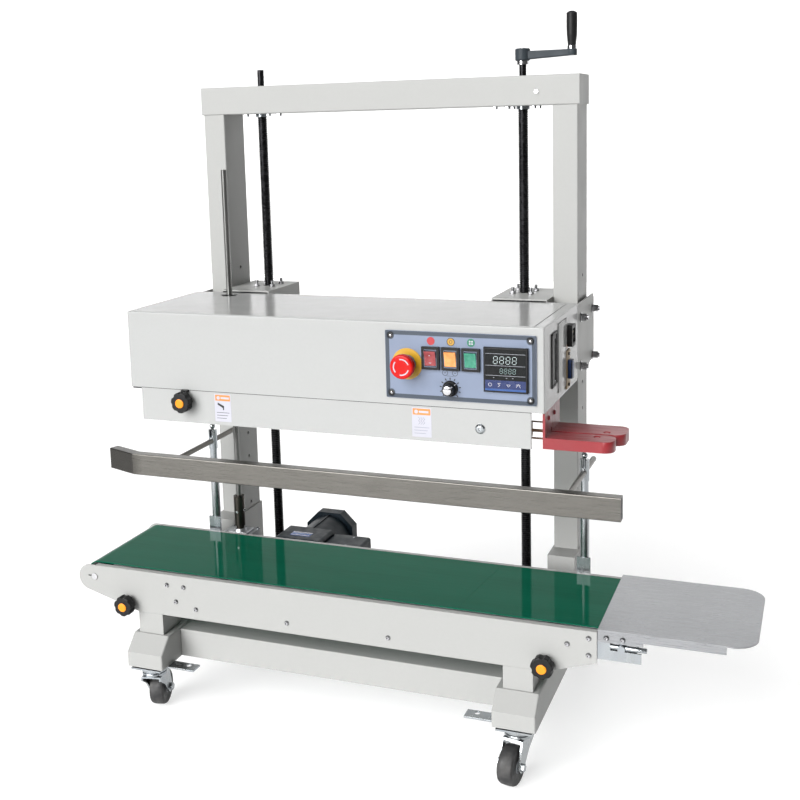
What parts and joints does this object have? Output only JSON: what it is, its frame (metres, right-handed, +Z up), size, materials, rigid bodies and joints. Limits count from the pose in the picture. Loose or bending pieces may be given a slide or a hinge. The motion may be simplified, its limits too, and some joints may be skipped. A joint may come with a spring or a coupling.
{
  "type": "continuous band sealer",
  "caption": "Floor-standing vertical band sealer: belt conveyor, height-adjustable sealing head on two lead screws, crank, bag guide and swivel casters.",
  "frame": {"origin": "floor level under the middle of the machine's bounding box", "axes": "+X along the conveyor towards the bag entry, +Y from the operator's side to the back, +Z up"},
  "size_m": [1.199, 0.5652, 1.2403],
  "materials": {
    "white_paint": "satin powder coat",
    "belt_green": "glossy PVC",
    "stainless": "brushed",
    "zinc": "zinc plated",
    "chrome": "polished",
    "black_oxide": "black oxide",
    "screw_steel": "dark oiled steel",
    "motor_paint": "satin",
    "cast_alloy": "as cast",
    "rubber": "matte",
    "black_plastic": "matte",
    "red_plastic": "satin",
    "red_button": "gloss",
    "amber_button": "gloss",
    "green_button": "gloss",
    "panel_blue": "printed film",
    "ptfe_brown": "PTFE coated glass cloth"
  },
  "bodies": {
    "frame": {"legs": "white_paint", "cross_beams": "white_paint", "columns": "white_paint", "top_beam": "white_paint", "lift_chain": "black_oxide", "screw_bearings": "zinc", "frame_screws": "chrome", "anchor_tabs": "zinc", "conveyor_posts": "white_paint", "conveyor_front_plate": "white_paint", "conveyor_rear_plate": "white_paint", "slider_bed": "stainless", "conveyor_belt": "belt_green", "extension_table": "stainless", "belt_tensioners": "zinc", "gearmotor": "motor_paint", "drive_gearbox": "cast_alloy", "guide_posts": "zinc", "caster_tops": "zinc"},
    "head": {"head_hood": "white_paint", "head_base": "white_paint", "side_brackets": "white_paint", "lift_carriages": "white_paint", "head_bolts": "chrome", "head_guard": "white_paint", "control_panel": "panel_blue", "temperature_controller": "black_plastic", "inlet_guide": "red_plastic", "seal_bands": "ptfe_brown", "seal_blocks": "cast_alloy", "side_sockets": "black_plastic"},
    "right_screw": {"lead_screw_right": "screw_steel", "crank_arm": "black_oxide"},
    "left_screw": {"lead_screw_left": "screw_steel"},
    "crank_grip": {"crank_handle": "black_plastic"},
    "fork_front_left": {"caster_fork_front_left": "zinc"},
    "wheel_front_left": {"caster_wheel_front_left": "rubber"},
    "fork_front_right": {"caster_fork_front_right": "zinc"},
    "wheel_front_right": {"caster_wheel_front_right": "rubber"},
    "fork_rear_left": {"caster_fork_rear_left": "zinc"},
    "wheel_rear_left": {"caster_wheel_rear_left": "rubber"},
    "fork_rear_right": {"caster_fork_rear_right": "zinc"},
    "wheel_rear_right": {"caster_wheel_rear_right": "rubber"},
    "drive_roller": {"drive_roller": "chrome"},
    "tail_roller": {"tail_roller": "chrome"},
    "drive_shaft": {"drive_shaft": "screw_steel"},
    "band_wheel_front_left": {"band_wheel_front_left": "cast_alloy"},
    "band_wheel_front_right": {"band_wheel_front_right": "cast_alloy"},
    "band_wheel_rear_left": {"band_wheel_rear_left": "cast_alloy"},
    "band_wheel_rear_right": {"band_wheel_rear_right": "cast_alloy"},
    "conveyor_knob_left": {"conveyor_knob_left": "black_plastic"},
    "conveyor_knob_right": {"conveyor_knob_right": "black_plastic"},
    "guard_knob": {"guard_knob": "black_plastic"},
    "guide_clamps": {"guide_clamps": "zinc"},
    "guide_bar": {"guide_bar": "stainless"},
    "e_stop_cap": {"e_stop_cap": "red_button"},
    "rocker_power": {"rocker_power": "red_button"},
    "rocker_drive": {"rocker_drive": "amber_button"},
    "rocker_fan": {"rocker_fan": "green_button"},
    "speed_knob": {"speed_knob": "black_plastic"}
  },
  "joints": [
    {"name": "caster_swivel_front_left", "type": "hinge", "parent": "frame", "child": "fork_front_left", "pos_m": [-0.4489, -0.2229, 0.08], "axis": [0, 0, 1], "continuous": true},
    {"name": "caster_roll_front_left", "type": "hinge", "parent": "fork_front_left", "child": "wheel_front_left", "pos_m": [-0.45451, -0.19649, 0.032], "axis": [-0.9781, -0.2079, 0], "continuous": true},
    {"name": "caster_swivel_front_right", "type": "hinge", "parent": "frame", "child": "fork_front_right", "pos_m": [0.2339, -0.2229, 0.08], "axis": [0, 0, 1], "continuous": true},
    {"name": "caster_roll_front_right", "type": "hinge", "parent": "fork_front_right", "child": "wheel_front_right", "pos_m": [0.22921, -0.24949, 0.032], "axis": [0.9848, -0.1736, 0], "continuous": true},
    {"name": "caster_swivel_rear_left", "type": "hinge", "parent": "frame", "child": "fork_rear_left", "pos_m": [-0.4489, 0.2231, 0.08], "axis": [0, 0, 1], "continuous": true},
    {"name": "caster_roll_rear_left", "type": "hinge", "parent": "fork_rear_left", "child": "wheel_rear_left", "pos_m": [-0.45219, 0.2499, 0.032], "axis": [-0.9925, -0.1219, 0], "continuous": true},
    {"name": "caster_swivel_rear_right", "type": "hinge", "parent": "frame", "child": "fork_rear_right", "pos_m": [0.2339, 0.2231, 0.08], "axis": [0, 0, 1], "continuous": true},
    {"name": "caster_roll_rear_right", "type": "hinge", "parent": "fork_rear_right", "child": "wheel_rear_right", "pos_m": [0.23859, 0.24969, 0.032], "axis": [-0.9848, 0.1736, 0], "continuous": true},
    {"name": "crank_turn", "type": "hinge", "parent": "frame", "child": "right_screw", "pos_m": [0.1555, 0.1451, 1.15], "axis": [0, 0, 1], "range_deg": [-19819, 4519]},
    {"name": "left_screw_turn", "type": "hinge", "parent": "frame", "child": "left_screw", "pos_m": [-0.3705, 0.1451, 1.1], "axis": [0, 0, 1], "range_deg": [-19819, 4519]},
    {"name": "head_lift", "type": "slide", "parent": "frame", "child": "head", "axis": [0, 0, 1], "range_m": [-0.05, 0.22]},
    {"name": "crank_grip_spin", "type": "hinge", "parent": "right_screw", "child": "crank_grip", "pos_m": [0.2445, 0.1451, 1.2], "axis": [0, 0, 1], "continuous": true},
    {"name": "drive_roller_spin", "type": "hinge", "parent": "frame", "child": "drive_roller", "pos_m": [-0.5655, -0.1089, 0.243], "axis": [0, 1, 0], "continuous": true},
    {"name": "tail_roller_spin", "type": "hinge", "parent": "frame", "child": "tail_roller", "pos_m": [0.3995, -0.1089, 0.243], "axis": [0, 1, 0], "continuous": true},
    {"name": "drive_shaft_spin", "type": "hinge", "parent": "frame", "child": "drive_shaft", "pos_m": [-0.395, 0.0241, 0.3], "axis": [0, 0, 1], "continuous": true},
    {"name": "band_wheel_front_left_spin", "type": "hinge", "parent": "head", "child": "band_wheel_front_left", "pos_m": [-0.4275, -0.15665, 0.56], "axis": [0, 0, 1], "continuous": true},
    {"name": "band_wheel_front_right_spin", "type": "hinge", "parent": "head", "child": "band_wheel_front_right", "pos_m": [0.2105, -0.15665, 0.56], "axis": [0, 0, 1], "continuous": true},
    {"name": "band_wheel_rear_left_spin", "type": "hinge", "parent": "head", "child": "band_wheel_rear_left", "pos_m": [-0.4275, -0.11115, 0.56], "axis": [0, 0, 1], "continuous": true},
    {"name": "band_wheel_rear_right_spin", "type": "hinge", "parent": "head", "child": "band_wheel_rear_right", "pos_m": [0.2105, -0.11115, 0.56], "axis": [0, 0, 1], "continuous": true},
    {"name": "conveyor_knob_left_turn", "type": "hinge", "parent": "frame", "child": "conveyor_knob_left", "pos_m": [-0.4935, -0.2379, 0.202], "axis": [0, 1, 0], "range_deg": [-30, 1440]},
    {"name": "conveyor_knob_right_turn", "type": "hinge", "parent": "frame", "child": "conveyor_knob_right", "pos_m": [0.2785, -0.2379, 0.202], "axis": [0, 1, 0], "range_deg": [-30, 1440]},
    {"name": "guard_knob_turn", "type": "hinge", "parent": "head", "child": "guard_knob", "pos_m": [-0.3735, -0.1999, 0.579], "axis": [0, 1, 0], "range_deg": [-30, 1440]},
    {"name": "guide_height", "type": "slide", "parent": "frame", "child": "guide_clamps", "axis": [0, 0, 1], "range_m": [-0.035, 0.03]},
    {"name": "guide_depth", "type": "slide", "parent": "guide_clamps", "child": "guide_bar", "axis": [0, 1, 0], "range_m": [-0.07, 0.005]},
    {"name": "e_stop_push", "type": "slide", "parent": "head", "child": "e_stop_cap", "axis": [0, 1, 0], "range_m": [0, 0.005], "stiffness_N_per_m": 1500},
    {"name": "rocker_power_tilt", "type": "hinge", "parent": "head", "child": "rocker_power", "pos_m": [0.0864, -0.1944, 0.679], "axis": [1, 0, 0], "range_deg": [-17, 0]},
    {"name": "rocker_drive_tilt", "type": "hinge", "parent": "head", "child": "rocker_drive", "pos_m": [0.1201, -0.1944, 0.679], "axis": [1, 0, 0], "range_deg": [-17, 0]},
    {"name": "rocker_fan_tilt", "type": "hinge", "parent": "head", "child": "rocker_fan", "pos_m": [0.1538, -0.1944, 0.679], "axis": [1, 0, 0], "range_deg": [-17, 0]},
    {"name": "speed_knob_turn", "type": "hinge", "parent": "head", "child": "speed_knob", "pos_m": [0.1181, -0.1999, 0.6301], "axis": [0, 1, 0], "range_deg": [-120, 150]}
  ],
  "couplings": [
    {"joint": "crank_turn", "follows": "head_lift", "rad_per_m": -1570.8},
    {"joint": "left_screw_turn", "follows": "head_lift", "rad_per_m": -1570.8},
    {"joint": "tail_roller_spin", "follows": "drive_roller_spin", "ratio": 1},
    {"joint": "drive_shaft_spin", "follows": "drive_roller_spin", "ratio": 1.0667},
    {"joint": "band_wheel_front_left_spin", "follows": "drive_roller_spin", "ratio": 1.0667},
    {"joint": "band_wheel_front_right_spin", "follows": "drive_roller_spin", "ratio": 1.0667},
    {"joint": "band_wheel_rear_left_spin", "follows": "drive_roller_spin", "ratio": -1.0667},
    {"joint": "band_wheel_rear_right_spin", "follows": "drive_roller_spin", "ratio": -1.0667}
  ]
}
